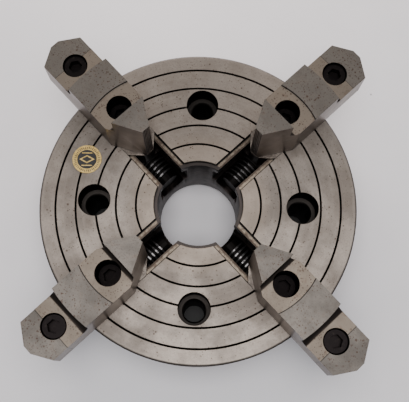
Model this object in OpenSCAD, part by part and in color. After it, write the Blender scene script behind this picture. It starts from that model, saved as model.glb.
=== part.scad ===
/* [Body] */
// Outer diameter of the body
body_d = 254; // [252:1:300]
// Thickness of the body, back face to front face
body_t = 73; // [72:1:80]
// Diameter of the through bore
bore_d = 66.2; // [60:0.1:68]
// Diameter of the shallow counterbore at the front of the bore
bore_lip_d = 71.2; // [70:0.1:74]
// Depth of that counterbore, also of the slot ledges
ledge_drop = 4; // [3:0.5:6]
// Diameter of the locating recess in the back
register_d = 127; // [110:1:140]
// Depth of the locating recess
register_h = 5; // [3:0.5:6]
// Radius of the innermost ring groove in the face
groove_r = 50; // [46:0.5:52]
// Radial distance from one ring groove to the next
groove_step = 16; // [15:0.1:17]
// Width of a ring groove
groove_w = 1.7; // [1:0.1:2.5]
// Depth of a ring groove
groove_h = 1.2; // [0.6:0.1:2]
// Chamfer on the outer edges of the body
edge_c = 1.5; // [0.5:0.1:3]

/* [Mounting holes] */
// Pitch circle diameter of the mounting holes
mount_pcd = 166.7; // [160:0.1:176]
// Diameter of the mounting through holes
mount_d = 17.5; // [14:0.1:20]
// Diameter of their counterbores
mount_cbore_d = 26; // [23:0.1:30]
// Depth of their counterbores
mount_cbore_h = 20; // [14:1:45]

/* [Jaw slots] */
// Width of the slot at the face and below the ribs
slot_w = 29.4; // [28.8:0.1:30.4]
// Width between the two ribs
rib_gap = 20.5; // [19.5:0.1:21.5]
// Thickness of the ribs
rib_h = 10; // [8:0.5:12]
// Gap between a moving face and the face that it passes
slide_gap = 0.3; // [0.2:0.05:0.4]

/* [Operating screws] */
// Height of the screw axes over the back face
screw_z = 35; // [33:0.5:36]
// Outside radius of the thread
thread_r = 11; // [10.5:0.1:11.3]
// Radius at the thread's root
root_r = 9; // [8.6:0.1:9.4]
// Pitch of the thread
pitch = 4; // [4:0.5:4]
// Clearance between the screw and the half nut
thread_gap = 0.3; // [0.25:0.05:0.35]
// Radius of the neck that runs in the thrust block
neck_r = 7; // [6:0.5:8]
// Length of the neck along the screw
neck_l = 8; // [7:0.5:9]
// Distance of the neck's middle from the chuck's axis
neck_x = 88; // [86:0.5:90]
// Width across the flats of the square key socket
key_w = 11; // [9:0.5:12]
// Depth of the key socket
key_h = 14; // [10:1:20]

/* [Top jaws] */
// Width of a top jaw
jaw_w = 37.7; // [36:0.1:40]
// Distance of the jaw's nose from the chuck's axis
nose_x = 58.9; // [56:0.1:62]
// Width of the flat nose
nose_w = 7; // [6:0.1:9]
// Overall length of a top jaw
jaw_l = 112.5; // [111:0.1:115]
// Length of the high tip step
tip_l = 20.8; // [19:0.1:21]
// Height of the tip over the face
tip_z = 61.6; // [56:0.1:66]
// Height of the middle step over the face
mid_z = 41.8; // [38:0.1:46]
// Height of the outer step over the face
outer_z = 27.9; // [26:0.1:30]
// Gap between the top jaws and the face
jaw_lift = 0.4; // [0.3:0.1:0.8]
// Distance of the inner cap screw from the nose
inner_hole_l = 32.4; // [31:0.1:34]
// Distance between the two cap screws of a jaw
jaw_screw_gap = 55; // [54:0.1:56]
// Radial set of jaw 1 from its nominal place
jaw_1_set = 2.4; // [-4:0.1:4]
// Radial set of jaw 2
jaw_2_set = 0.9; // [-4:0.1:4]
// Radial set of jaw 3
jaw_3_set = -1.8; // [-4:0.1:4]
// Radial set of jaw 4
jaw_4_set = -1.6; // [-4:0.1:4]

/* [Cap screws] */
// Head diameter of the jaw cap screws
cap_d = 19.05; // [18:0.05:19.6]
// Head height
cap_h = 12.7; // [12:0.1:14]
// Shank diameter
shank_d = 12.7; // [12:0.1:13]
// Hexagon socket, across the flats
hex_w = 9.5; // [8:0.1:10]
// Clearance around a shank or head in its hole
cap_gap = 0.35; // [0.2:0.05:0.5]

/* [Plate] */
// Diameter of the maker's plate
plate_d = 23.4; // [20:0.1:25]
// Distance of the plate's middle from the axis
plate_x = 97.4; // [94:0.1:100]
// Angle of the plate around the axis
plate_a = 205; // [200:0.5:212]

/* [Hidden] */
jaw_set = [jaw_1_set, jaw_2_set, jaw_3_set, jaw_4_set];
steel = [0.6, 0.58, 0.55];
ground = [0.66, 0.63, 0.6];
dark_steel = [0.16, 0.15, 0.15];
brass = [0.8, 0.68, 0.35];

// body
rim_r = body_d / 2;
bore_r = bore_d / 2;
ledge_z = body_t - ledge_drop;
rib_low_z = ledge_z - rib_h;
slot_low_z = screw_z - slide_gap;
trough_r = thread_r + 0.6;
seat_c = 1.2;

// jaws
master_w = slot_w - 2 * slide_gap;
point_c = 9.6;
master_neck_w = rib_gap - 2 * slide_gap;
jaw_z = body_t + jaw_lift;
master_in_x = nose_x + 2;
inner_hole_x = nose_x + inner_hole_l;
outer_hole_x = inner_hole_x + jaw_screw_gap;
master_out_x = outer_hole_x + 12;
seat_z = body_t + outer_z - cap_h - 2.3;
shank_l = 35;
key_x = (inner_hole_x + outer_hole_x) / 2;
tip_x = nose_x + tip_l;
nose_a = 29.6;
full_x = nose_x + (jaw_w - nose_w) / 2 / tan(nose_a);
end_c = 9.3;
end_w = 7.6;
// the arc across the middle step, round the inner cap screw
arc_x = nose_x + 47.1;
arc_r = 61;
hole_step_drop = 0.8;
// the wall between the middle and the outer step
step_x = nose_x + 69.4;
fillet_r = 6;
tip_fillet_r = 3.2;
wall_bow = 1.5;
wall_r = (jaw_w * jaw_w / 4 + wall_bow * wall_bow) / 2 / wall_bow;
grip_step = 1.3;
grip_h = 0.45;
grip_low_z = 4;
end_x = nose_x + jaw_l;
end_step_x = outer_hole_x + 2.4;
end_step_drop = 0.6;

// cross key between a master jaw and its top jaw, and tongue along them
key_l = 12.6;
key_deep = 3;
tongue_w = 8;
tongue_h = 3;
fit_gap = 0.1;

// half nut
nut_in_x = master_in_x + 3;
nut_out_x = nut_in_x + 44;
nut_plate_l = 2;
nut_plate_h = 2;
nut_top_z = screw_z + 15;
nut_r = thread_r + 0.4;
nut_crest_r = root_r + 0.4;

// thread form: where each pitch starts its flank, crest, second flank and root
crest_w = 1.2;
flank_w = 0.25;
screw_form = [0, flank_w, flank_w + crest_w, 2 * flank_w + crest_w];
nut_form = [
  -thread_gap, flank_w - thread_gap,
  flank_w + crest_w + thread_gap, 2 * flank_w + crest_w + thread_gap
];

// screw
screw_in_x = 37;
screw_out_x = rim_r - 2;
neck_in_x = neck_x - neck_l / 2;
neck_out_x = neck_x + neck_l / 2;
collar_l = 5;
screw_sides = 20;

// thrust block
block_gap = 0.2;
flange_w = 16;
flange_h = 6;
flange_y = 48;
flange_z = 0.5;
block_l = 7.6;
block_w = 26;
block_screw_y = 19;
block_screw_r = 3;
block_head_r = 5;
block_head_z = flange_z + 3.4;
block_screw_top_z = 19;

// plate
plate_low_z = body_t - 1.4;
plate_h = 1.9;

function ring_x(form, k) = pitch * floor(k / 4) + form[k % 4];
function is_crest(k) = k % 4 == 1 || k % 4 == 2;

// A run of male thread along X, with plain ends at the root's radius.
module thread_run(x0, x1) {
  n = screw_sides;
  // The runs share one helix, which passes through the same angle every pitch.
  start = pitch * ceil((x0 + 0.2) / pitch);
  last = 4 * (floor((x1 - 0.2 - start) / pitch) - 1);
  // The crest is low where it runs out at either end.
  function runs_out(k, i) = (k < 4 && i < 2) || (k > last - 4 && i > n - 3);
  function ring_r(k, i) = !is_crest(k) ? root_r : runs_out(k, i) ? root_r + 0.05 : thread_r;
  function at(x, r, i) = [x, r * cos(360 * i / n), r * sin(360 * i / n)];
  function v(k, i) = n * (k + 1) + i;
  e = n * (last + 2);
  points = concat(
    [for (i = [0 : n - 1]) at(x0, root_r, i)],
    [for (k = [0 : last]) for (i = [0 : n - 1])
      at(start + ring_x(screw_form, k) + pitch * i / n, ring_r(k, i), i)],
    [for (i = [0 : n - 1]) at(x1, root_r, i)]
  );
  faces = concat(
    [[for (i = [0 : n - 1]) i]],
    // plain start: the helix runs out between the first two sides
    [for (i = [1 : n - 2]) [i, v(0, i), v(0, i + 1), i + 1]],
    [[n - 1, v(0, n - 1), v(4, 0), 0], [0, v(4, 0), v(4, 1)], [0, v(0, 1), 1]],
    [for (k = [3 : -1 : 0]) [0, v(k + 1, 1), v(k, 1)]],
    // thread
    [for (k = [0 : last - 1]) for (i = [k < 4 ? 1 : 0 : k < last - 4 ? n - 2 : n - 3])
      for (f = [0, 1]) f == 0 ? [v(k, i), v(k + 1, i), v(k + 1, i + 1)]
        : [v(k, i), v(k + 1, i + 1), v(k, i + 1)]],
    [for (k = [0 : last - 5]) for (f = [0, 1])
      f == 0 ? [v(k, n - 1), v(k + 1, n - 1), v(k + 5, 0)]
        : [v(k, n - 1), v(k + 5, 0), v(k + 4, 0)]],
    // plain end
    [for (k = [last - 4 : last - 1]) [e + n - 1, v(k, n - 2), v(k + 1, n - 2)]],
    [[e + n - 1, v(last - 4, n - 1), v(last - 4, n - 2)], [e + n - 1, v(last, n - 2), e + n - 2],
      [v(last - 4, n - 1), e + n - 1, e, v(last, 0)]],
    [for (i = [0 : n - 3]) [v(last, i), e + i, e + i + 1, v(last, i + 1)]],
    [[for (i = [0 : n - 1]) e + n - 1 - i]]
  );
  polyhedron(points, faces, convexity = 10);
}

// The block of a jaw's nut, with the female thread over half a turn.
// Its rings run from the end of the first groove to the start of the last one.
module half_nut() {
  m = 12;
  start = pitch * ceil((nut_in_x - 1) / pitch);
  turns = floor((nut_out_x - 3 - start) / pitch);
  first = 2;
  last = 4 * turns + 1;
  hy = master_w / 2;
  top = nut_top_z - nut_plate_h;
  function at(x, r, j) = [x, r * cos(180 * j / m), screw_z + r * sin(180 * j / m)];
  function v(k, j) = (m + 1) * (k - first + 1) + j;
  e = (m + 1) * (last - first + 2);
  c = e + m + 1;
  points = concat(
    [for (j = [0 : m]) at(nut_in_x, nut_r, j)],
    [for (k = [first : last]) for (j = [0 : m])
      at(start + ring_x(nut_form, k) + pitch * j / (2 * m), is_crest(k) ? nut_r : nut_crest_r, j)],
    [for (j = [0 : m]) at(nut_out_x, nut_r, j)],
    [for (x = [nut_in_x, nut_out_x])
      for (q = [[hy, screw_z], [hy, top], [-hy, top], [-hy, screw_z]]) [x, q[0], q[1]]]
  );
  faces = concat(
    [concat([c, c + 1, c + 2, c + 3], [for (j = [0 : m]) m - j])],
    [for (j = [0 : m - 1]) [j, j + 1, v(first, j + 1), v(first, j)]],
    [for (k = [first : last - 1]) for (j = [0 : m - 1]) for (f = [0, 1])
      f == 0 ? [v(k, j), v(k, j + 1), v(k + 1, j + 1)]
        : [v(k, j), v(k + 1, j + 1), v(k + 1, j)]],
    [for (j = [0 : m - 1]) [v(last, j), v(last, j + 1), e + j + 1, e + j]],
    [concat([for (j = [0 : m]) e + j], [c + 7, c + 6, c + 5, c + 4])],
    [concat([c, 0], [for (k = [first : last]) v(k, 0)], [e, c + 4])],
    [concat([c + 7, e + m], [for (k = [first : last]) v(first + last - k, m)], [m, c + 3])],
    [[c, c + 4, c + 5, c + 1]],
    [[c + 3, c + 2, c + 6, c + 7]],
    [[c + 1, c + 5, c + 6, c + 2]]
  );
  polyhedron(points, faces, convexity = 10);
}

module box(x0, x1, y0, y1, z0, z1) {
  translate([x0, y0, z0]) cube([x1 - x0, y1 - y0, z1 - z0]);
}

module rod_x(x0, x1, r) {
  translate([x0, 0, screw_z]) rotate([0, 90, 0]) cylinder(r = r, h = x1 - x0, $fn = 64);
}

module rod_z(x, y, z0, z1, r) {
  translate([x, y, z0]) cylinder(r = r, h = z1 - z0, $fn = 64);
}

module jaw_slot() {
  box(0, rim_r + 5, -slot_w / 2, slot_w / 2, ledge_z, body_t + 5);
  box(0, rim_r + 5, -rib_gap / 2, rib_gap / 2, rib_low_z - 1, ledge_z + 1);
  box(0, rim_r + 5, -slot_w / 2, slot_w / 2, slot_low_z, rib_low_z);
  rod_x(0, rim_r + 5, trough_r);
}

module block_pocket() {
  g = fit_gap;
  box(neck_x - block_l / 2 - g, neck_x + block_l / 2 + g,
    -block_w / 2 - g, block_w / 2 + g, -1, slot_low_z);
  box(neck_x - flange_w / 2 - g, neck_x + flange_w / 2 + g,
    -flange_y / 2 - g, flange_y / 2 + g, -1, flange_z + flange_h);
  for (s = [-1, 1])
    rod_z(neck_x, s * block_screw_y, 0, block_screw_top_z + 2, block_screw_r + 2 * g);
}

module chuck_body() {
  color(steel)
  difference() {
    rotate_extrude($fn = 180) polygon([
      [bore_r, register_h], [register_d / 2, register_h], [register_d / 2, 0],
      [rim_r - edge_c, 0], [rim_r, edge_c], [rim_r, body_t - edge_c],
      [rim_r - edge_c, body_t], [bore_lip_d / 2 + 0.5, body_t],
      [bore_lip_d / 2, body_t - 0.5], [bore_lip_d / 2, ledge_z], [bore_r, ledge_z]
    ]);
    for (i = [0 : 4]) rotate_extrude($fn = 180)
      translate([groove_r + i * groove_step - groove_w / 2, body_t - groove_h])
        square([groove_w, groove_h + 1]);
    for (a = [0 : 90 : 270]) rotate([0, 0, a]) {
      jaw_slot();
      block_pocket();
      rotate([0, 0, 45]) {
        rod_z(mount_pcd / 2, 0, -1, body_t + 1, mount_d / 2);
        rod_z(mount_pcd / 2, 0, body_t - mount_cbore_h, body_t + 1, mount_cbore_d / 2);
        translate([mount_pcd / 2, 0, body_t - mount_cbore_h]) rotate_extrude($fn = 64) polygon([
          [0, -seat_c], [mount_d / 2, -seat_c], [mount_d / 2 + seat_c, 0], [0, 0.5]
        ]);
      }
    }
    rotate([0, 0, plate_a])
      rod_z(plate_x, 0, plate_low_z, body_t + 1, plate_d / 2 + fit_gap);
  }
}

module maker_plate() {
  color(brass)
  rotate([0, 0, plate_a]) translate([plate_x, 0, plate_low_z])
  difference() {
    cylinder(r = plate_d / 2, h = plate_h, $fn = 96);
    translate([0, 0, plate_h - 0.3]) difference() {
      cylinder(r = plate_d / 2 - 1, h = 1, $fn = 96);
      translate([0, 0, -0.5]) cylinder(r = plate_d / 2 - 4.4, h = 2, $fn = 96);
    }
  }
}

module master_jaw() {
  hw = master_w / 2;
  color(steel)
  difference() {
    union() {
      box(master_in_x, master_out_x, -hw, hw, nut_top_z, rib_low_z - slide_gap);
      box(master_in_x, master_out_x, -master_neck_w / 2, master_neck_w / 2,
        rib_low_z - slide_gap, ledge_z + slide_gap);
      box(master_in_x, master_out_x, -hw, hw, ledge_z + slide_gap, jaw_z);
      box(master_in_x + 5, master_out_x, -tongue_w / 2, tongue_w / 2,
        jaw_z - 1, jaw_z + tongue_h);
    }
    for (x = [inner_hole_x, outer_hole_x])
      rod_z(x, 0, nut_top_z - 1, jaw_z + 5, shank_d / 2 + fit_gap);
    for (s = [-1, 1]) translate([master_in_x, s * hw, nut_top_z - 1])
      rotate([0, 0, 45]) translate([-point_c / sqrt(2), -point_c / sqrt(2), 0])
        cube([sqrt(2) * point_c, sqrt(2) * point_c, jaw_z]);
    box(key_x - key_l / 2 - fit_gap, key_x + key_l / 2 + fit_gap, -hw - 1, hw + 1,
      jaw_z - key_deep - 2 * fit_gap, jaw_z + 5);
  }
}

module jaw_nut() {
  color(steel)
  union() {
    box(nut_in_x - nut_plate_l, nut_out_x + nut_plate_l, -master_w / 2, master_w / 2,
      nut_top_z - nut_plate_h, nut_top_z);
    half_nut();
  }
}

module jaw_outline(h) {
  hw = jaw_w / 2;
  linear_extrude(height = h) polygon([
    [nose_x, -nose_w / 2], [full_x, -hw], [end_x - end_c, -hw], [end_x, -end_w / 2],
    [end_x, end_w / 2], [end_x - end_c, hw], [full_x, hw], [nose_x, nose_w / 2]
  ]);
}

// V grooves cut down the flat of the nose.
module grip_grooves() {
  for (i = [-2 : 2]) translate([nose_x, i * grip_step, grip_low_z])
    linear_extrude(height = tip_z) polygon([
      [grip_h, 0], [-grip_h, 2 * grip_h], [-grip_h, -2 * grip_h]
    ]);
}

// The metal left in the corner between a step and the wall at x.
module step_fillet(x, z, r) {
  difference() {
    box(x - 1, x + r, -jaw_w, jaw_w, 0, z + r);
    translate([x + r, jaw_w + 1, z + r]) rotate([90, 0, 0])
      cylinder(r = r, h = 2 * jaw_w + 2, $fn = 64);
  }
}

module top_jaw() {
  top = tip_z + 10;
  color(ground)
  translate([0, 0, body_t])
  difference() {
    union() {
      translate([0, 0, jaw_lift]) jaw_outline(tip_z - jaw_lift);
      box(key_x - key_l / 2, key_x + key_l / 2, -master_w / 2, master_w / 2,
        jaw_lift - key_deep, jaw_lift + 1);
    }
    difference() {
      union() {
        box(tip_x, end_x + 1, -jaw_w, jaw_w, mid_z + hole_step_drop, top);
        intersection() {
          box(tip_x, arc_x + 3, -jaw_w, jaw_w, mid_z, top);
          translate([arc_x - arc_r, 0, 0]) cylinder(r = arc_r, h = top, $fn = 96);
        }
      }
      step_fillet(tip_x, mid_z, tip_fillet_r);
    }
    difference() {
      box(step_x, end_x + 1, -jaw_w, jaw_w, outer_z, top);
      translate([step_x + wall_bow - wall_r, 0, 0]) cylinder(r = wall_r, h = top, $fn = 96);
      step_fillet(step_x, outer_z, fillet_r);
    }
    box(end_step_x, end_x + 1, -jaw_w, jaw_w, outer_z - end_step_drop, top);
    for (x = [inner_hole_x, outer_hole_x]) {
      rod_z(x, 0, -5, top, shank_d / 2 + cap_gap);
      rod_z(x, 0, seat_z - body_t, top, cap_d / 2 + cap_gap);
    }
    box(nose_x - 1, end_x + 1, -tongue_w / 2 - fit_gap, tongue_w / 2 + fit_gap,
      -5, jaw_lift + tongue_h + 2 * fit_gap);
    grip_grooves();
  }
}

module cap_screw(x) {
  color(dark_steel)
  translate([x, 0, seat_z])
  difference() {
    union() {
      rotate_extrude($fn = 64) polygon([
        [0, 0], [cap_d / 2, 0], [cap_d / 2, cap_h - 0.8], [cap_d / 2 - 0.8, cap_h], [0, cap_h]
      ]);
      translate([0, 0, -shank_l]) cylinder(r = shank_d / 2, h = shank_l + 1, $fn = 64);
    }
    translate([0, 0, cap_h - 6.5]) cylinder(r = hex_w / 2 / cos(30), h = 7, $fn = 6);
  }
}

module operating_screw(i) {
  r = root_r;
  color(dark_steel)
  translate([0, 0, screw_z]) rotate([-360 * jaw_set[i] / pitch, 0, 0])
  difference() {
    union() {
      thread_run(screw_in_x, neck_in_x);
      rotate([0, 90, 0]) translate([0, 0, neck_in_x - 1])
        cylinder(r = neck_r, h = neck_l + 2, $fn = 64);
      thread_run(neck_out_x, screw_out_x - collar_l);
      rotate([0, 90, 0]) rotate_extrude($fn = 64) polygon([
        [0, screw_out_x - collar_l - 1], [r - 1, screw_out_x - collar_l - 1],
        [r - 1, screw_out_x - collar_l], [r, screw_out_x - collar_l],
        [r, screw_out_x - 1], [r - 1, screw_out_x], [0, screw_out_x]
      ]);
    }
    translate([screw_out_x - key_h, -key_w / 2, -key_w / 2]) cube([key_h + 1, key_w, key_w]);
  }
}

module thrust_block() {
  color(steel)
  difference() {
    union() {
      box(neck_x - block_l / 2, neck_x + block_l / 2, -block_w / 2, block_w / 2,
        flange_z, slot_low_z - slide_gap);
      box(neck_x - flange_w / 2, neck_x + flange_w / 2,
        -flange_y / 2, flange_y / 2, flange_z, flange_z + flange_h);
    }
    rod_x(neck_x - 10, neck_x + 10, neck_r + 0.05);
    for (s = [-1, 1]) {
      rod_z(neck_x, s * block_screw_y, -1, 10, block_screw_r + 2 * fit_gap);
      rod_z(neck_x, s * block_screw_y, -1, block_head_z, block_head_r + 2 * fit_gap);
    }
  }
}

module block_screws() {
  color(dark_steel)
  for (s = [-1, 1]) difference() {
    union() {
      rod_z(neck_x, s * block_screw_y, block_head_z, block_screw_top_z, block_screw_r);
      rod_z(neck_x, s * block_screw_y, flange_z + 0.3, block_head_z, block_head_r);
    }
    translate([neck_x, s * block_screw_y, -1])
      cylinder(r = 2.5 / cos(30), h = flange_z + 3.2, $fn = 6);
  }
}

module around(i) {
  rotate([0, 0, 90 * i]) children();
}

module at_jaw(i) {
  around(i) translate([jaw_set[i], 0, 0]) children();
}

chuck_body();
maker_plate();
at_jaw(0) master_jaw();  // master_jaw_1
at_jaw(1) master_jaw();  // master_jaw_2
at_jaw(2) master_jaw();  // master_jaw_3
at_jaw(3) master_jaw();  // master_jaw_4
at_jaw(0) jaw_nut();  // jaw_nut_1
at_jaw(1) jaw_nut();  // jaw_nut_2
at_jaw(2) jaw_nut();  // jaw_nut_3
at_jaw(3) jaw_nut();  // jaw_nut_4
at_jaw(0) top_jaw();  // top_jaw_1
at_jaw(1) top_jaw();  // top_jaw_2
at_jaw(2) top_jaw();  // top_jaw_3
at_jaw(3) top_jaw();  // top_jaw_4
at_jaw(0) cap_screw(outer_hole_x);  // outer_jaw_screw_1
at_jaw(1) cap_screw(outer_hole_x);  // outer_jaw_screw_2
at_jaw(2) cap_screw(outer_hole_x);  // outer_jaw_screw_3
at_jaw(3) cap_screw(outer_hole_x);  // outer_jaw_screw_4
at_jaw(0) cap_screw(inner_hole_x);  // inner_jaw_screw_1
at_jaw(1) cap_screw(inner_hole_x);  // inner_jaw_screw_2
at_jaw(2) cap_screw(inner_hole_x);  // inner_jaw_screw_3
at_jaw(3) cap_screw(inner_hole_x);  // inner_jaw_screw_4
around(0) operating_screw(0);  // operating_screw_1
around(1) operating_screw(1);  // operating_screw_2
around(2) operating_screw(2);  // operating_screw_3
around(3) operating_screw(3);  // operating_screw_4
around(0) thrust_block();  // thrust_block_1
around(1) thrust_block();  // thrust_block_2
around(2) thrust_block();  // thrust_block_3
around(3) thrust_block();  // thrust_block_4
around(0) block_screws();  // block_screws_1
around(1) block_screws();  // block_screws_2
around(2) block_screws();  // block_screws_3
around(3) block_screws();  // block_screws_4
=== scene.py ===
"""Looks of a four-jaw independent lathe chuck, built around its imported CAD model."""

import math

import bpy
import bmesh
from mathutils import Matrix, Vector


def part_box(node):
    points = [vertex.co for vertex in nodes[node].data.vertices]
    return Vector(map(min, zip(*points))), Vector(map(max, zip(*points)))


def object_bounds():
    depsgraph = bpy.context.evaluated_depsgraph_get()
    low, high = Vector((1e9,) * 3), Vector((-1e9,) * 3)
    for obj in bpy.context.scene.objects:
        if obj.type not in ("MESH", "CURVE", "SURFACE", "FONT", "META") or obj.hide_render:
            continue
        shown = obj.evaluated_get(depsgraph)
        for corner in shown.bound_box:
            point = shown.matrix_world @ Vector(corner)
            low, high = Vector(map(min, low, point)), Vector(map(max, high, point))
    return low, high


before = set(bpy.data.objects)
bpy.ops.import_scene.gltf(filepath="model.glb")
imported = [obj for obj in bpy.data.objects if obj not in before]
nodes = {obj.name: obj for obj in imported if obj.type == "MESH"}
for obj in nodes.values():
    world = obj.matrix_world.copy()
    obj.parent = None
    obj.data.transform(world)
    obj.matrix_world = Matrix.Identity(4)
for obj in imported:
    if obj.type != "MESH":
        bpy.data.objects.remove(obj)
cad_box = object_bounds()

# Sizes of the object that the looks depend on, in metres
FACE_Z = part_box("chuck_body")[1].z
RIM_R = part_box("chuck_body")[1].x
LEDGE_Z = FACE_Z - 0.004
JAW_TOP_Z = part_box("top_jaw_1")[1].z
OUTER_STEP_Z = FACE_Z + 0.0279
MID_STEP_Z = FACE_Z + 0.0418
SCREW_Z = 0.035
THREAD_R = 0.011
JAW_END = 0.1714
ARC_MIDDLE = 0.0450
ARC_R = 0.061
NOSE = 0.0589
TIP_BACK = 0.0797
MID_STEP_END = 0.1284
STEP_JOINT = 0.1487
JAW_HOLES = (0.0913, 0.1463)
JAW_HOLE_R = 0.0100
JAW_HALF_W = 0.01885
LEDGE_BROWN = 0.0117
SEAT_DEPTH = 0.0200
JAWS = (1, 2, 3, 4)

# How much of the jaws' colour is left under their dark film
JAW_TONE = 0.52


# ---------------------------------------------------------------- node helpers
class Graph:
    """Short calls for building one material's nodes."""

    def __init__(self, name):
        self.mat = bpy.data.materials.new(name)
        self.mat.use_nodes = True
        self.tree = self.mat.node_tree
        self.tree.nodes.clear()
        self.out = self.tree.nodes.new("ShaderNodeOutputMaterial")
        self.bsdf = self.tree.nodes.new("ShaderNodeBsdfPrincipled")
        self.link(self.bsdf.outputs[0], self.out.inputs["Surface"])
        coord = self.tree.nodes.new("ShaderNodeTexCoord")
        self.at = coord.outputs["Object"]
        self.normal = coord.outputs["Normal"]

    def link(self, a, b):
        self.tree.links.new(a, b)

    def put(self, socket, value):
        if isinstance(value, bpy.types.NodeSocket):
            self.link(value, socket)
        elif isinstance(value, tuple) and len(value) == 3 and socket.type == "RGBA":
            socket.default_value = (*value, 1)
        else:
            socket.default_value = value

    def math(self, op, a, b=0.0, c=0.0, clamp=False):
        n = self.tree.nodes.new("ShaderNodeMath")
        n.operation = op
        n.use_clamp = clamp
        for i, v in enumerate((a, b, c)):
            self.put(n.inputs[i], v)
        return n.outputs[0]

    def ramp(self, value, low, high, to_low=0.0, to_high=1.0):
        n = self.tree.nodes.new("ShaderNodeMapRange")
        n.interpolation_type = "SMOOTHSTEP"
        for name, v in (("Value", value), ("From Min", low), ("From Max", high),
                        ("To Min", to_low), ("To Max", to_high)):
            self.put(n.inputs[name], v)
        return n.outputs[0]

    def noise(self, scale, detail=4.0, rough=0.55, at=None, distortion=0.0):
        n = self.tree.nodes.new("ShaderNodeTexNoise")
        self.link(at or self.at, n.inputs["Vector"])
        n.inputs["Scale"].default_value = scale
        n.inputs["Detail"].default_value = detail
        n.inputs["Roughness"].default_value = rough
        n.inputs["Distortion"].default_value = distortion
        return n.outputs["Fac"]

    def cells(self, scale):
        n = self.tree.nodes.new("ShaderNodeTexVoronoi")
        self.link(self.at, n.inputs["Vector"])
        n.inputs["Scale"].default_value = scale
        return n.outputs["Distance"], n.outputs["Color"]

    def split(self, vector):
        n = self.tree.nodes.new("ShaderNodeSeparateXYZ")
        self.link(vector, n.inputs[0])
        return n.outputs

    def join(self, x, y, z):
        n = self.tree.nodes.new("ShaderNodeCombineXYZ")
        for i, v in enumerate((x, y, z)):
            self.put(n.inputs[i], v)
        return n.outputs[0]

    def mix(self, factor, a, b):
        n = self.tree.nodes.new("ShaderNodeMix")
        n.data_type = "RGBA"
        self.put(n.inputs[0], factor)
        self.put(n.inputs[6], a)
        self.put(n.inputs[7], b)
        return n.outputs[2]

    def bump(self, height, strength, distance):
        n = self.tree.nodes.new("ShaderNodeBump")
        n.inputs["Strength"].default_value = strength
        n.inputs["Distance"].default_value = distance
        self.link(height, n.inputs["Height"])
        return n.outputs[0]

    def length(self, a, b):
        return self.math("SQRT", self.math("ADD", self.math("MULTIPLY", a, a),
                                           self.math("MULTIPLY", b, b)))

    def radius(self):
        x, y, _ = self.split(self.at)
        return self.length(x, y)

    def finish(self, color, metallic, roughness, normal=None):
        self.put(self.bsdf.inputs["Base Color"], color)
        self.put(self.bsdf.inputs["Metallic"], metallic)
        self.put(self.bsdf.inputs["Roughness"], roughness)
        if normal:
            self.link(normal, self.bsdf.inputs["Normal"])
        return self.mat


def speckle(g, scale, size, share):
    """Small round spots, in only some of the cells."""
    distance, color = g.cells(scale)
    pick = g.math("LESS_THAN", g.split(color)[0], share)
    spot = g.ramp(distance, size, size * 0.45)
    return g.math("MULTIPLY", spot, pick)


# ---------------------------------------------------------------- materials
GREY = (0.160, 0.138, 0.119)
PALE = (0.275, 0.240, 0.207)
WARM = (0.255, 0.207, 0.163)
STAIN = (0.105, 0.077, 0.058)
RUST = (0.045, 0.026, 0.018)
BLACK = (0.004, 0.0035, 0.003)
WALL = (0.040, 0.031, 0.029)
LEDGE_PALE = (0.235, 0.195, 0.15)


def worn_steel(g, mottle=1.0, tone=1.0):
    """Colour of old bright steel: broad patches, a fine grain and brown stains."""
    broad = g.ramp(g.noise(32, 5, 0.62), 0.32, 0.68)
    grain = g.ramp(g.noise(700, 4, 0.65), 0.3, 0.72)
    color = g.mix(broad, GREY, PALE)
    color = g.mix(g.math("MULTIPLY", grain, 0.4), color, GREY)
    stain = g.ramp(g.noise(95, 6, 0.7, distortion=0.5), 0.54, 0.78)
    color = g.mix(g.math("MULTIPLY", stain, 0.55 * mottle), color, STAIN)
    smudge = g.ramp(g.noise(210, 6, 0.8), 0.5, 0.75)
    color = g.mix(g.math("MULTIPLY", smudge, 0.4 * mottle), color, STAIN)
    pits = g.ramp(g.noise(900, 3, 0.7), 0.60, 0.68)
    color = g.mix(g.math("MULTIPLY", pits, 0.6 * mottle), color, RUST)
    if tone < 1.0:
        color = g.mix(1.0 - tone, color, (0.01, 0.006, 0.002))
    return color, broad, grain


def dirt_spots(g, share=1.0):
    """Dark spots of several sizes, thicker in some places than in others."""
    small = speckle(g, 620, 0.36, 0.20 * share)
    mid = speckle(g, 330, 0.30, 0.17 * share)
    large = speckle(g, 140, 0.17, 0.16 * share)
    spots = g.math("MAXIMUM", g.math("MAXIMUM", small, mid), large)
    crowd = g.ramp(g.noise(40, 3, 0.6), 0.38, 0.62, 0.25, 1.0)
    return g.math("MULTIPLY", spots, crowd)


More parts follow.
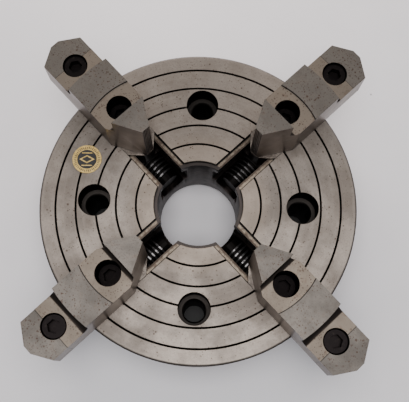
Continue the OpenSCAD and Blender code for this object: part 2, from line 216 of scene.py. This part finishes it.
def body_steel():
    g = Graph("body_steel")
    z = g.split(g.at)[2]
    r = g.radius()
    color, broad, grain = worn_steel(g, 0.7)
    lines = g.noise(2400, 2, 0.5, at=g.join(r, 0.0, 0.0))
    bands = g.noise(300, 3, 0.6, at=g.join(r, 0.3, 0.0))
    color = g.mix(g.math("MULTIPLY", g.ramp(lines, 0.35, 0.7), 0.2), color, STAIN)
    color = g.mix(g.math("MULTIPLY", g.ramp(bands, 0.45, 0.75), 0.25), color, PALE)
    inner = g.ramp(r, 0.062, 0.046)
    color = g.mix(g.math("MULTIPLY", inner, 0.45), color, WARM)
    spots = dirt_spots(g)
    color = g.mix(g.math("MULTIPLY", spots, 0.8), color, RUST)
    # below the face: grooves, ledges, slots, holes and the bore
    inside = g.math("LESS_THAN", r, RIM_R - 0.0022)
    groove = g.math("MULTIPLY", g.ramp(z, FACE_Z - 0.0003, FACE_Z - 0.0007), inside)
    deep = g.math("MULTIPLY", g.ramp(z, LEDGE_Z - 0.0001, LEDGE_Z - 0.0006), inside)
    ledge = g.math("MULTIPLY", g.ramp(z, LEDGE_Z + 0.0006, LEDGE_Z + 0.0002), inside)
    color = g.mix(groove, color, BLACK)
    # a ledge is pale along its middle, brown at the rib's edge and black in the corner
    x, y, _ = g.split(g.at)
    across = g.math("MINIMUM", g.math("ABSOLUTE", x), g.math("ABSOLUTE", y))
    tan = g.mix(g.ramp(g.noise(330, 6, 0.75), 0.42, 0.60), LEDGE_PALE, STAIN)
    worn = g.math("ADD", across, g.ramp(g.noise(300, 4, 0.7), 0.2, 0.8, -0.0006, 0.0006))
    brown = g.ramp(worn, LEDGE_BROWN + 0.0005, LEDGE_BROWN - 0.0005)
    tan = g.mix(g.math("MULTIPLY", brown, 0.8), tan, (0.035, 0.024, 0.018))
    tan = g.mix(g.ramp(across, 0.0133, 0.0139), tan, BLACK)
    tan = g.mix(g.ramp(r, 0.0362, 0.0357), tan, (0.04, 0.033, 0.03))
    color = g.mix(ledge, color, tan)
    wall = g.mix(g.ramp(g.noise(110, 5, 0.65), 0.4, 0.66), WALL, BLACK)
    seat = g.math("MULTIPLY", g.ramp(z, FACE_Z - SEAT_DEPTH - 0.0025, FACE_Z - SEAT_DEPTH - 0.0013),
                  g.ramp(z, FACE_Z - SEAT_DEPTH + 0.0013, FACE_Z - SEAT_DEPTH + 0.0001))
    seat = g.math("MULTIPLY", seat, g.ramp(r, 0.0700, 0.0701))
    wall = g.mix(seat, wall, (0.13, 0.115, 0.105))
    # the walls of the slots and holes are painted nearly black, as painted shade of these deep
    # recesses; the bore wall keeps its mottled dark brown-grey
    wall = g.mix(g.ramp(r, 0.0336, 0.0345, 0.0, 0.75), wall, BLACK)
    color = g.mix(deep, color, wall)
    dark = g.math("MULTIPLY", groove, g.math("SUBTRACT", 1.0, ledge, clamp=True))
    dark = g.math("MAXIMUM", dark, deep)
    # painted shade: a thin dark outline on the rim's outer edge, just below the face
    rim_edge_shade = g.ramp(r, RIM_R - 0.0010, RIM_R - 0.0006)
    rim_edge_shade = g.math("MULTIPLY", rim_edge_shade, g.ramp(z, FACE_Z - 0.0022, FACE_Z - 0.0016))
    color = g.mix(rim_edge_shade, color, (0.02, 0.015, 0.012))
    metallic = g.ramp(dark, 0.0, 1.0, 0.8, 1.0)
    rough = g.math("ADD", g.ramp(broad, 0.0, 1.0, 0.50, 0.42), g.math("MULTIPLY", dark, 0.1))
    height = g.math("ADD", g.math("MULTIPLY", lines, 0.5), g.math("MULTIPLY", grain, 0.5))
    tangent = g.tree.nodes.new("ShaderNodeTangent")
    tangent.direction_type = "RADIAL"
    tangent.axis = "Z"
    g.link(tangent.outputs[0], g.bsdf.inputs["Tangent"])
    g.bsdf.inputs["Anisotropic"].default_value = 0.45
    return g.finish(color, metallic, rough, g.bump(height, 0.2, 0.00008))


def along_jaw(g, shift):
    """Distance from the chuck's axis along a jaw, less the jaw's own set."""
    x, y, z = g.split(g.at)
    reach = g.math("MAXIMUM", g.math("ABSOLUTE", x), g.math("ABSOLUTE", y))
    across = g.math("MINIMUM", g.math("ABSOLUTE", x), g.math("ABSOLUTE", y))
    return g.math("SUBTRACT", reach, shift), z, across


def jaw_steel(name, shift):
    """Top jaw: each step and wall has its own tone."""
    g = Graph(name)
    color, broad, grain = worn_steel(g, 1.3, JAW_TONE)
    color = g.mix(0.35, color, (0.085, 0.083, 0.078))
    reach, z, across = along_jaw(g, shift)
    up = g.split(g.normal)[2]
    wall = g.ramp(g.math("ABSOLUTE", up), 0.6, 0.2)
    # the step with the inner hole ends in an arc: that step, and the inner part of the
    # outer step, are browner than the rest
    bend = g.math("SUBTRACT", reach, ARC_MIDDLE)
    bend = g.length(bend, across)
    on_mid = g.math("MULTIPLY", g.math("LESS_THAN", z, MID_STEP_Z + 0.002),
                    g.math("GREATER_THAN", z, MID_STEP_Z - 0.001))
    on_low = g.math("LESS_THAN", z, OUTER_STEP_Z + 0.0002)
    hole_step = g.math("MULTIPLY", g.ramp(bend, ARC_R + 0.0002, ARC_R - 0.0002), on_mid)
    low_step = g.math("MULTIPLY", g.ramp(reach, STEP_JOINT + 0.0002, STEP_JOINT - 0.0002), on_low)
    warm = g.math("MAXIMUM", hole_step, low_step)
    color = g.mix(g.math("MULTIPLY", warm, 0.6), color, (0.165, 0.132, 0.100))
    blotch = g.ramp(g.noise(130, 6, 0.75, distortion=0.5), 0.53, 0.66)
    share = g.math("ADD", 0.3, g.math("MULTIPLY", warm, 0.4))
    color = g.mix(g.math("MULTIPLY", blotch, share), color, STAIN)
    spots = dirt_spots(g, 3.0)
    color = g.mix(g.math("MULTIPLY", spots, 0.95), color, RUST)
    # walls are brown-grey; beyond the middle step, at the foot of its wall, and behind the tip,
    # where a fillet is left out of the model, nearly black bands of painted shade are laid on
    brown = g.mix(g.ramp(g.noise(60, 5, 0.6), 0.3, 0.7), (0.115, 0.085, 0.07), (0.16, 0.125, 0.105))
    color = g.mix(g.math("MULTIPLY", wall, 0.8), color, brown)
    inner_side = g.math("LESS_THAN", across, JAW_HALF_W - 0.0001)
    step_foot_shade = g.math("MULTIPLY", g.ramp(reach, MID_STEP_END - 0.0022, MID_STEP_END - 0.0018),
                  g.ramp(reach, MID_STEP_END + 0.0061, MID_STEP_END + 0.0051))
    step_foot_shade = g.math("MULTIPLY", step_foot_shade, g.ramp(z, OUTER_STEP_Z - 0.0006, OUTER_STEP_Z - 0.0003))
    step_foot_shade = g.math("MULTIPLY", step_foot_shade, g.ramp(z, MID_STEP_Z - 0.0001, MID_STEP_Z - 0.0005))
    step_foot_shade = g.math("MULTIPLY", step_foot_shade, inner_side)
    tip_back_shade = g.math("MULTIPLY", g.ramp(reach, TIP_BACK - 0.0007, TIP_BACK - 0.0002),
                  g.ramp(reach, TIP_BACK + 0.0035, TIP_BACK + 0.0027))
    tip_back_shade = g.math("MULTIPLY", tip_back_shade, g.math("LESS_THAN", z, JAW_TOP_Z - 0.0004))
    tip_back_shade = g.math("MULTIPLY", tip_back_shade, g.math("GREATER_THAN", z, MID_STEP_Z - 0.0001))
    dark = g.math("MAXIMUM", step_foot_shade, g.math("MULTIPLY", tip_back_shade, 0.93))
    color = g.mix(g.math("MULTIPLY", dark, 0.95), color, (0.014, 0.009, 0.007))
    # thin dark joints along the arc and across the outer step, and a thin line of painted shade on
    # the walls just below the long top edges
    fine = g.math("ABSOLUTE", g.math("SUBTRACT", bend, ARC_R))
    fine = g.math("MULTIPLY", g.ramp(fine, 0.0005, 0.00025), on_mid)
    cross = g.math("ABSOLUTE", g.math("SUBTRACT", reach, STEP_JOINT))
    cross = g.math("MULTIPLY", g.ramp(cross, 0.0004, 0.0002), on_low)
    level = g.ramp(reach, MID_STEP_END, MID_STEP_END - 0.0002, OUTER_STEP_Z, MID_STEP_Z)
    painted_shade_under = g.ramp(z, g.math("SUBTRACT", level, 0.0014), g.math("SUBTRACT", level, 0.0010))
    painted_shade_under = g.math("MULTIPLY", painted_shade_under, wall)
    painted_shade_under = g.math("MULTIPLY", painted_shade_under, g.ramp(reach, 0.084, 0.086))
    joint_and_edge_shade = g.math("MAXIMUM", g.math("MAXIMUM", fine, cross), g.math("MULTIPLY", painted_shade_under, 0.85))
    color = g.mix(g.math("MULTIPLY", joint_and_edge_shade, 0.9), color, BLACK)
    # painted contact shade: the walls darken towards black over the lowest 3 mm, where the jaw
    # meets the face
    low = g.math("MULTIPLY", g.ramp(z, FACE_Z + 0.003, FACE_Z + 0.0006), wall)
    color = g.mix(g.math("MULTIPLY", low, 0.7), color, BLACK)
    # dirt in the grooves of the nose
    nose = g.math("MULTIPLY", g.ramp(reach, NOSE + 0.00005, NOSE + 0.0003),
                  g.ramp(across, 0.0036, 0.0033))
    nose = g.math("MULTIPLY", nose, g.ramp(reach, NOSE + 0.0012, NOSE + 0.0009))
    color = g.mix(g.math("MULTIPLY", nose, wall), color, BLACK)
    # screw holes: their walls are painted black
    for hole in JAW_HOLES:
        away = g.math("SUBTRACT", reach, hole)
        away = g.length(away, across)
        inside = g.math("MULTIPLY", g.ramp(away, JAW_HOLE_R + 0.00015, JAW_HOLE_R), wall)
        color = g.mix(inside, color, BLACK)
    rough = g.math("SUBTRACT", g.ramp(broad, 0.0, 1.0, 0.48, 0.40), g.math("MULTIPLY", wall, 0.08))
    height = g.math("ADD", g.math("MULTIPLY", grain, 0.6), g.noise(1500, 2, 0.5))
    return g.finish(color, 0.8, rough, g.bump(height, 0.14, 0.0001))


def master_steel():
    """Master jaws and nuts: worn steel with dark oil patches, and nearly black below the face as
    painted shade inside the slots.
    """
    g = Graph("master_steel")
    color, broad, _ = worn_steel(g, 1.2)
    z = g.split(g.at)[2]
    oil = g.ramp(g.noise(160, 5, 0.7), 0.45, 0.6)
    color = g.mix(g.math("MULTIPLY", oil, 0.6), color, (0.03, 0.022, 0.018))
    # painted shade: below the face, inside the slots, the parts are nearly black
    color = g.mix(g.ramp(z, FACE_Z - 0.0002, FACE_Z - 0.0008), color, (0.012, 0.009, 0.008))
    rough = g.ramp(broad, 0.0, 1.0, 0.42, 0.30)
    return g.finish(color, 0.8, rough, g.bump(g.noise(900, 3, 0.6), 0.15, 0.0001))


def black_oxide(name, tone):
    g = Graph(name)
    wear = g.ramp(g.noise(420, 5, 0.7), 0.55, 0.8)
    color = g.mix(wear, (0.012 * tone, 0.010 * tone, 0.010 * tone),
                  (0.04 * tone, 0.033 * tone, 0.028 * tone))
    rough = g.ramp(wear, 0.0, 1.0, 0.40, 0.55)
    return g.finish(color, 1.0, rough, g.bump(g.noise(900, 3, 0.6), 0.15, 0.0001))


def oily_thread():
    """Operating screws: worn crests shine, and the roots hold black oil."""
    g = Graph("oily_thread")
    x, y, z = g.split(g.at)
    across = g.math("MINIMUM", g.math("ABSOLUTE", x), g.math("ABSOLUTE", y))
    up = g.math("SUBTRACT", z, SCREW_Z)
    r = g.length(across, up)
    crest = g.ramp(r, THREAD_R - 0.0009, THREAD_R - 0.0003)
    dirt = g.ramp(g.noise(260, 4, 0.6), 0.45, 0.7)
    crest = g.math("MULTIPLY", crest, g.ramp(dirt, 0.0, 1.0, 1.0, 0.35))
    color = g.mix(crest, (0.006, 0.005, 0.0045), (0.13, 0.125, 0.125))
    rough = g.ramp(crest, 0.0, 1.0, 0.55, 0.3)
    return g.finish(color, 0.9, rough, g.bump(g.noise(900, 3, 0.6), 0.1, 0.0001))


def plate_enamel(centre):
    """Maker's plate: gilt rim with tick marks, and a plain lozenge on black enamel."""
    g = Graph("plate_enamel")
    x, y, _ = g.split(g.at)
    u = g.math("SUBTRACT", x, centre.x)
    v = g.math("SUBTRACT", y, centre.y)
    r = g.length(u, v)
    angle = g.math("ARCTAN2", v, u)
    gold = g.mix(g.ramp(g.noise(500, 4, 0.6), 0.4, 0.7), (0.62, 0.44, 0.16), (0.36, 0.25, 0.09))
    ink = g.mix(g.ramp(g.noise(600, 4, 0.6), 0.45, 0.7),
                (0.006, 0.005, 0.005), (0.02, 0.017, 0.015))
    tick = g.math("GREATER_THAN", g.math("SINE", g.math("MULTIPLY", angle, 40.0)), 0.1)
    band = g.math("MULTIPLY", g.math("GREATER_THAN", r, 0.0086), g.math("LESS_THAN", r, 0.0104))
    field = g.math("LESS_THAN", r, 0.0079)
    # across and along the lozenge, which is set square to the plate's own radius
    turn = math.radians(47)
    cos, sin = math.cos(turn), math.sin(turn)
    a = g.math("ADD", g.math("MULTIPLY", u, cos), g.math("MULTIPLY", v, sin))
    b = g.math("SUBTRACT", g.math("MULTIPLY", v, cos), g.math("MULTIPLY", u, sin))
    size = g.math("ADD", g.math("MULTIPLY", g.math("ABSOLUTE", a), 0.55), g.math("ABSOLUTE", b))
    ring = g.math("LESS_THAN", g.math("ABSOLUTE", g.math("SUBTRACT", size, 0.0029)), 0.00055)
    bars = g.math("ABSOLUTE", g.math("SUBTRACT", g.math("ABSOLUTE", b), 0.0052))
    bars = g.math("LESS_THAN", bars, 0.0004)
    bars = g.math("MULTIPLY", bars, g.math("LESS_THAN", g.math("ABSOLUTE", a), 0.0042))
    dark = g.math("MULTIPLY", field, g.math("SUBTRACT", 1.0, g.math("MAXIMUM", ring, bars)))
    dark = g.math("MAXIMUM", dark, g.math("MULTIPLY", g.math("MULTIPLY", tick, band), 0.8))
    color = g.mix(dark, gold, ink)
    metallic = g.ramp(dark, 0.0, 1.0, 0.9, 0.0)
    rough = g.ramp(dark, 0.0, 1.0, 0.34, 0.5)
    return g.finish(color, metallic, rough, g.bump(dark, -0.3, 0.0002))


def floor_paint():
    g = Graph("floor_paint")
    cloud = g.ramp(g.noise(4, 5, 0.6), 0.3, 0.7)
    color = g.mix(cloud, (0.76, 0.74, 0.765), (0.82, 0.80, 0.825))
    scuff = g.math("MULTIPLY", speckle(g, 55, 0.07, 0.25), g.ramp(g.noise(7, 3, 0.6), 0.5, 0.62))
    smear = g.ramp(g.noise(16, 7, 0.78, distortion=1.2), 0.64, 0.78)
    color = g.mix(g.math("MULTIPLY", smear, 0.22), color, (0.35, 0.32, 0.32))
    color = g.mix(g.math("MULTIPLY", scuff, 0.55), color, (0.08, 0.07, 0.07))
    # painted shade: the floor is nearly black in a ring under the chuck, seen only down its bolt
    # holes
    r = g.radius()
    painted_shade_under = g.math("MULTIPLY", g.ramp(r, 0.040, 0.045), g.ramp(r, 0.116, 0.110))
    color = g.mix(painted_shade_under, color, (0.004, 0.004, 0.004))
    return g.finish(color, 0.0, 0.5)


def paint(obj, mat):
    obj.data.materials.clear()
    obj.data.materials.append(mat)


def soften(obj, width, segments=2, angle=32):
    """Joins the imported faces and rounds the sharp edges a little, as real edges are."""
    weld = obj.modifiers.new("weld", "WELD")
    weld.merge_threshold = 0.000002
    bevel = obj.modifiers.new("edges", "BEVEL")
    bevel.width = width
    bevel.segments = segments
    bevel.limit_method = "ANGLE"
    bevel.angle_limit = math.radians(angle)
    bevel.harden_normals = True
    bevel.use_clamp_overlap = True


steel, masters = body_steel(), master_steel()
# the inner jaw screws get a darker copy of the black oxide
oxide, inner_oxide = black_oxide("black_oxide", 0.8), black_oxide("inner_screw_oxide", 0.35)
thread = oily_thread()
plate_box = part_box("maker_plate")
plate = plate_enamel((plate_box[0] + plate_box[1]) / 2)

paint(nodes["chuck_body"], steel)
paint(nodes["maker_plate"], plate)
for i in JAWS:
    low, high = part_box(f"top_jaw_{i}")
    end = max(abs(v) for v in (low.x, low.y, high.x, high.y))
    paint(nodes[f"top_jaw_{i}"], jaw_steel(f"jaw_steel_{i}", end - JAW_END))
    paint(nodes[f"master_jaw_{i}"], masters)
    paint(nodes[f"jaw_nut_{i}"], masters)
    paint(nodes[f"outer_jaw_screw_{i}"], oxide)
    paint(nodes[f"inner_jaw_screw_{i}"], inner_oxide)
    paint(nodes[f"operating_screw_{i}"], thread)
    paint(nodes[f"thrust_block_{i}"], steel)
    paint(nodes[f"block_screws_{i}"], oxide)
    soften(nodes[f"top_jaw_{i}"], 0.0004)
soften(nodes["chuck_body"], 0.0002)

# ---------------------------------------------------------------- stage
floor_mesh = bpy.data.meshes.new("floor")
bm = bmesh.new()
bmesh.ops.create_grid(bm, x_segments=1, y_segments=1, size=4)
bm.to_mesh(floor_mesh)
bm.free()
floor = bpy.data.objects.new("floor", floor_mesh)
floor.location.z = cad_box[0].z
bpy.context.collection.objects.link(floor)
paint(floor, floor_paint())


def area(name, place, size, power, aim=(0, 0, 0.05), color=(1, 1, 1)):
    data = bpy.data.lights.new(name, "AREA")
    data.shape = "RECTANGLE"
    data.size, data.size_y = size
    data.energy = power
    data.color = color
    light = bpy.data.objects.new(name, data)
    light.location = place
    light.rotation_mode = "QUATERNION"
    light.rotation_quaternion = (Vector(aim) - Vector(place)).to_track_quat("-Z", "Y")
    bpy.context.collection.objects.link(light)
    return light


world = bpy.data.worlds.new("world")
bpy.context.scene.world = world
world.use_nodes = True
world.node_tree.nodes["Background"].inputs["Color"].default_value = (0.90, 0.94, 1.0, 1)
world.node_tree.nodes["Background"].inputs["Strength"].default_value = 0.42

# ---------------------------------------------------------------- camera
CAM_TILT = math.radians(12.9)
CAM_ROLL = math.radians(-0.65)
CAM_TURN = math.radians(47.2)
CAM_BACK = 0.598
CAM_LENS = 65.8
AIM = Vector((0.0015, 0.0052, FACE_Z))
cam_data = bpy.data.cameras.new("camera")
cam_data.lens = CAM_LENS
cam_data.sensor_width = 36
cam = bpy.data.objects.new("camera", cam_data)
cam.rotation_euler = (CAM_TILT, CAM_ROLL, CAM_TURN)
look = cam.rotation_euler.to_matrix() @ Vector((0, 0, -1))
cam.location = AIM - look * CAM_BACK
cam_data.clip_start, cam_data.clip_end = 0.01, 20
bpy.context.collection.objects.link(cam)
bpy.context.scene.camera = cam

# a broad lamp overhead, and a warmer one low down beyond the far rim
area("key", (0.12, -0.12, 1.6), (0.9, 0.9), 17, color=(1.0, 0.975, 0.97))
area("far", (-0.62, 0.57, 0.5), (0.7, 0.5), 9, color=(1.0, 0.90, 0.82))
